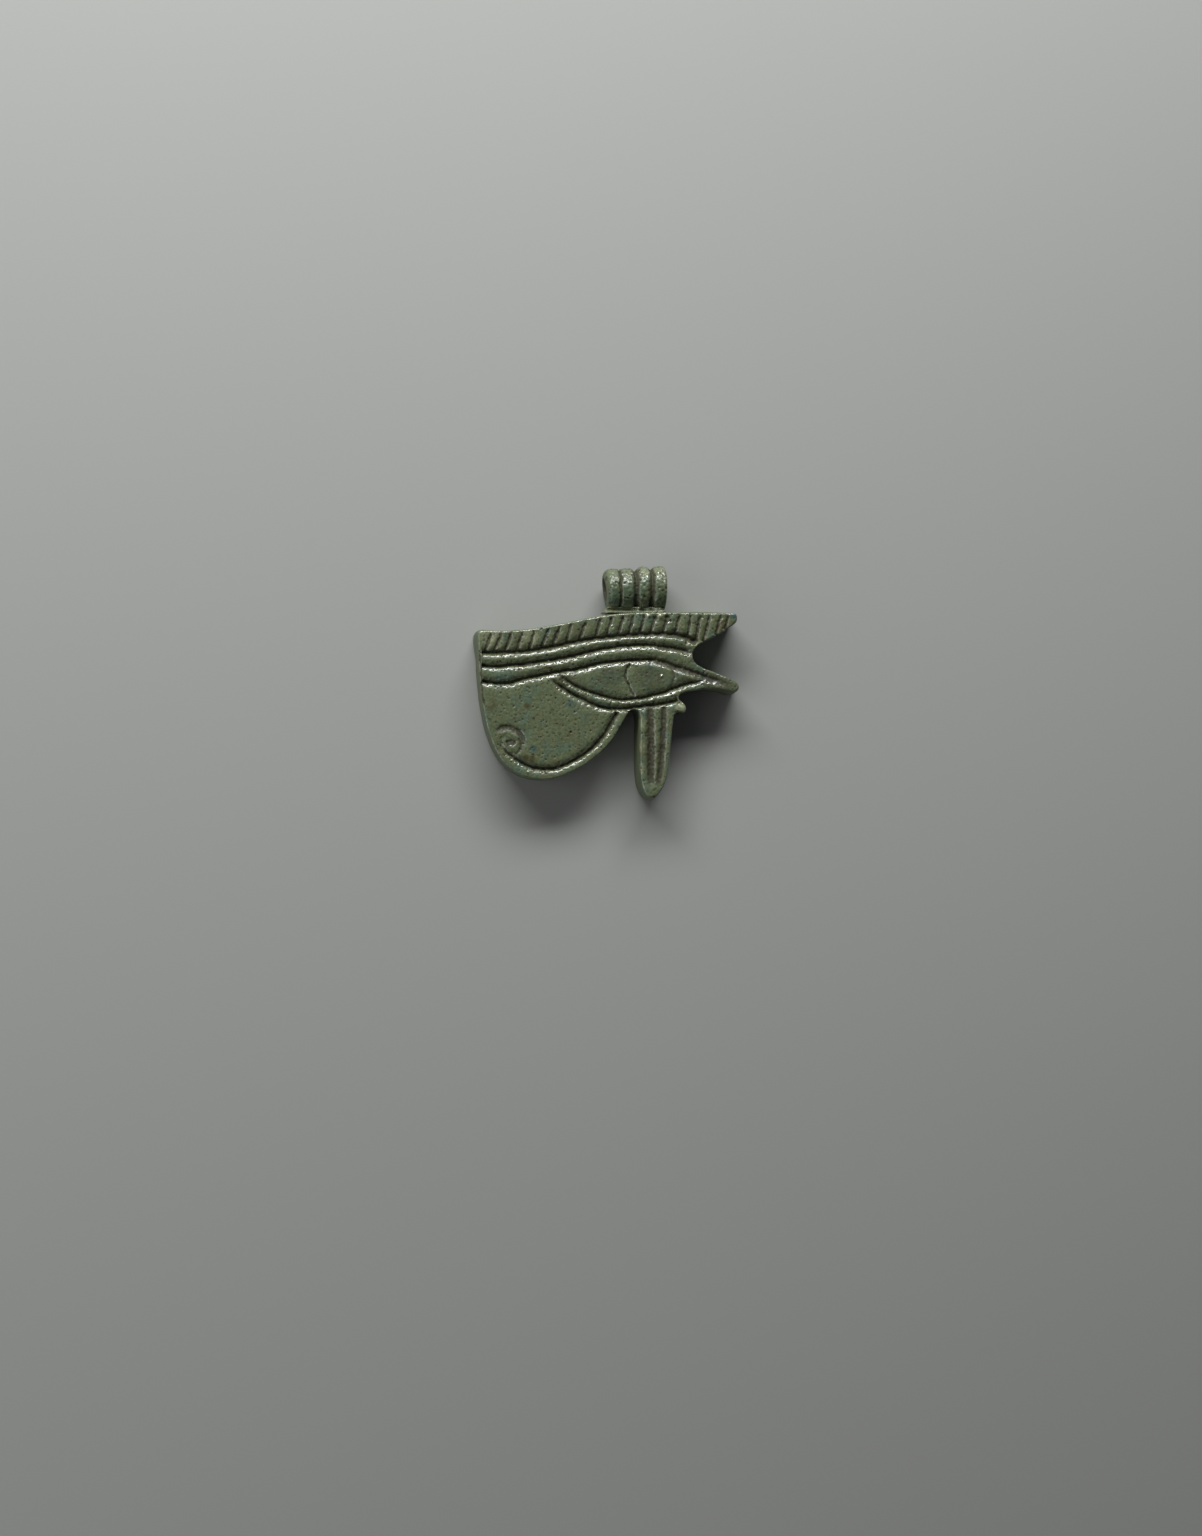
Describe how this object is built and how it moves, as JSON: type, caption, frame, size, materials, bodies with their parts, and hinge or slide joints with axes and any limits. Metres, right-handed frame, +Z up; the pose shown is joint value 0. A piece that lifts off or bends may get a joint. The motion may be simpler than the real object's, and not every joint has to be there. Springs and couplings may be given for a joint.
{
  "type": "wedjat eye amulet",
  "caption": "Flat moulded eye amulet of green glazed faience, with carved grooves on its front and a ribbed suspension tube on the brow.",
  "frame": {"origin": "under the middle of the whole amulet, on the surface that its flat back lies on", "axes": "+Z up out of the carved front, +X along the eye towards the tips of its two tails, +Y from the drop towards the suspension tube"},
  "size_m": [0.0326, 0.0288, 0.0058],
  "materials": {
    "plaque_glaze": "satin",
    "tube_glaze": "satin",
    "slip_glaze": "satin"
  },
  "bodies": {
    "root": {"eye_plaque": "plaque_glaze", "suspension_tube": "tube_glaze", "luting_slip": "slip_glaze"}
  },
  "joints": []
}
